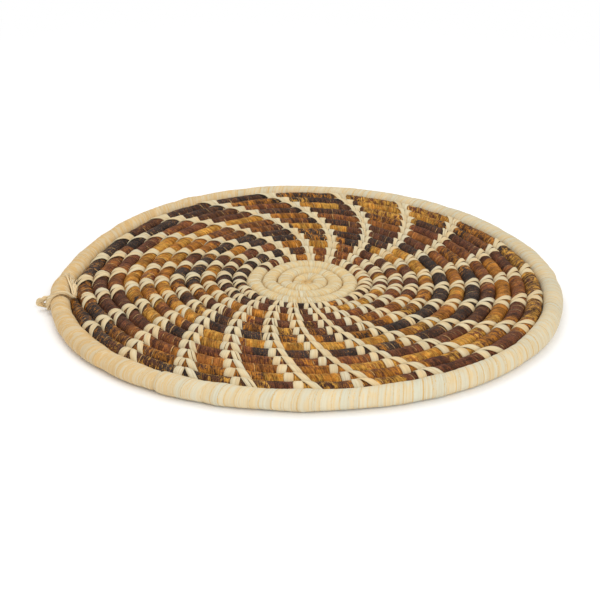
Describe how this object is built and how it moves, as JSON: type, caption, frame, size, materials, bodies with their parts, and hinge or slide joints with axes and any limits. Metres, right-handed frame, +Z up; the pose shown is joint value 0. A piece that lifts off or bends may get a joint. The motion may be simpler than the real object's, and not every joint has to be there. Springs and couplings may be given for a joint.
{
  "type": "round wall basket",
  "caption": "Shallow round coiled wall basket with bark-wrapped rows, swirling raffia stitch ribs, a thick wrapped rim and a swinging hanging loop.",
  "frame": {"origin": "the middle of the basket's underside, on the flat end of the centre knot, in the plane that the foot and the rim rest on", "axes": "+Z up through the basket's open face, away from the wall or table; -X towards the hanging loop; +Y to the right of the loop seen from above with the loop to the left and -Y nearest"},
  "size_m": [0.328, 0.3188, 0.0118],
  "materials": {
    "natural_raffia": "matte dry raffia, fine lengthwise fibres",
    "dry_grass": "matte dry grass bundle",
    "near_black_bark": "dyed banana bark strip, near black, dull",
    "mahogany_bark": "dyed banana bark strip, dark red brown, dull",
    "mustard_bark": "natural banana bark strip, mustard with dark specks, dull"
  },
  "bodies": {
    "basket": {"grass_core": "dry_grass", "centre_knot": "natural_raffia", "centre_wrap": "natural_raffia", "bark_wrap_01": "mahogany_bark", "bark_wrap_02": "mustard_bark", "bark_wrap_03": "near_black_bark", "bark_wrap_04": "mahogany_bark", "bark_wrap_05": "mustard_bark", "bark_wrap_06": "near_black_bark", "bark_wrap_07": "mahogany_bark", "bark_wrap_08": "mustard_bark", "bark_wrap_09": "near_black_bark", "bark_wrap_10": "mahogany_bark", "bark_wrap_11": "mustard_bark", "bark_wrap_12": "near_black_bark", "stitch_rib_01": "natural_raffia", "stitch_rib_02": "natural_raffia", "stitch_rib_03": "natural_raffia", "stitch_rib_04": "natural_raffia", "stitch_rib_05": "natural_raffia", "stitch_rib_06": "natural_raffia", "stitch_rib_07": "natural_raffia", "stitch_rib_08": "natural_raffia", "stitch_rib_09": "natural_raffia", "stitch_rib_10": "natural_raffia", "stitch_rib_11": "natural_raffia", "stitch_rib_12": "natural_raffia", "stitch_rib_13": "natural_raffia", "stitch_rib_14": "natural_raffia", "stitch_rib_15": "natural_raffia", "stitch_rib_16": "natural_raffia", "stitch_rib_17": "natural_raffia", "stitch_rib_18": "natural_raffia", "stitch_rib_19": "natural_raffia", "stitch_rib_20": "natural_raffia", "stitch_rib_21": "natural_raffia", "stitch_rib_22": "natural_raffia", "rim_core": "dry_grass", "rim_wrap": "natural_raffia", "loop_tail_1": "natural_raffia", "loop_tail_2": "natural_raffia", "loop_tail_3": "natural_raffia", "loop_tail_4": "natural_raffia", "loop_tail_5": "natural_raffia"},
    "loop": {"hanging_loop": "natural_raffia"}
  },
  "joints": [
    {"name": "hanging_loop_swing", "type": "hinge", "parent": "basket", "child": "loop", "pos_m": [-0.15399, -0.00003, 0.00582], "axis": [0.0391, 0.9992, 0], "range_deg": [-12, 116]}
  ]
}
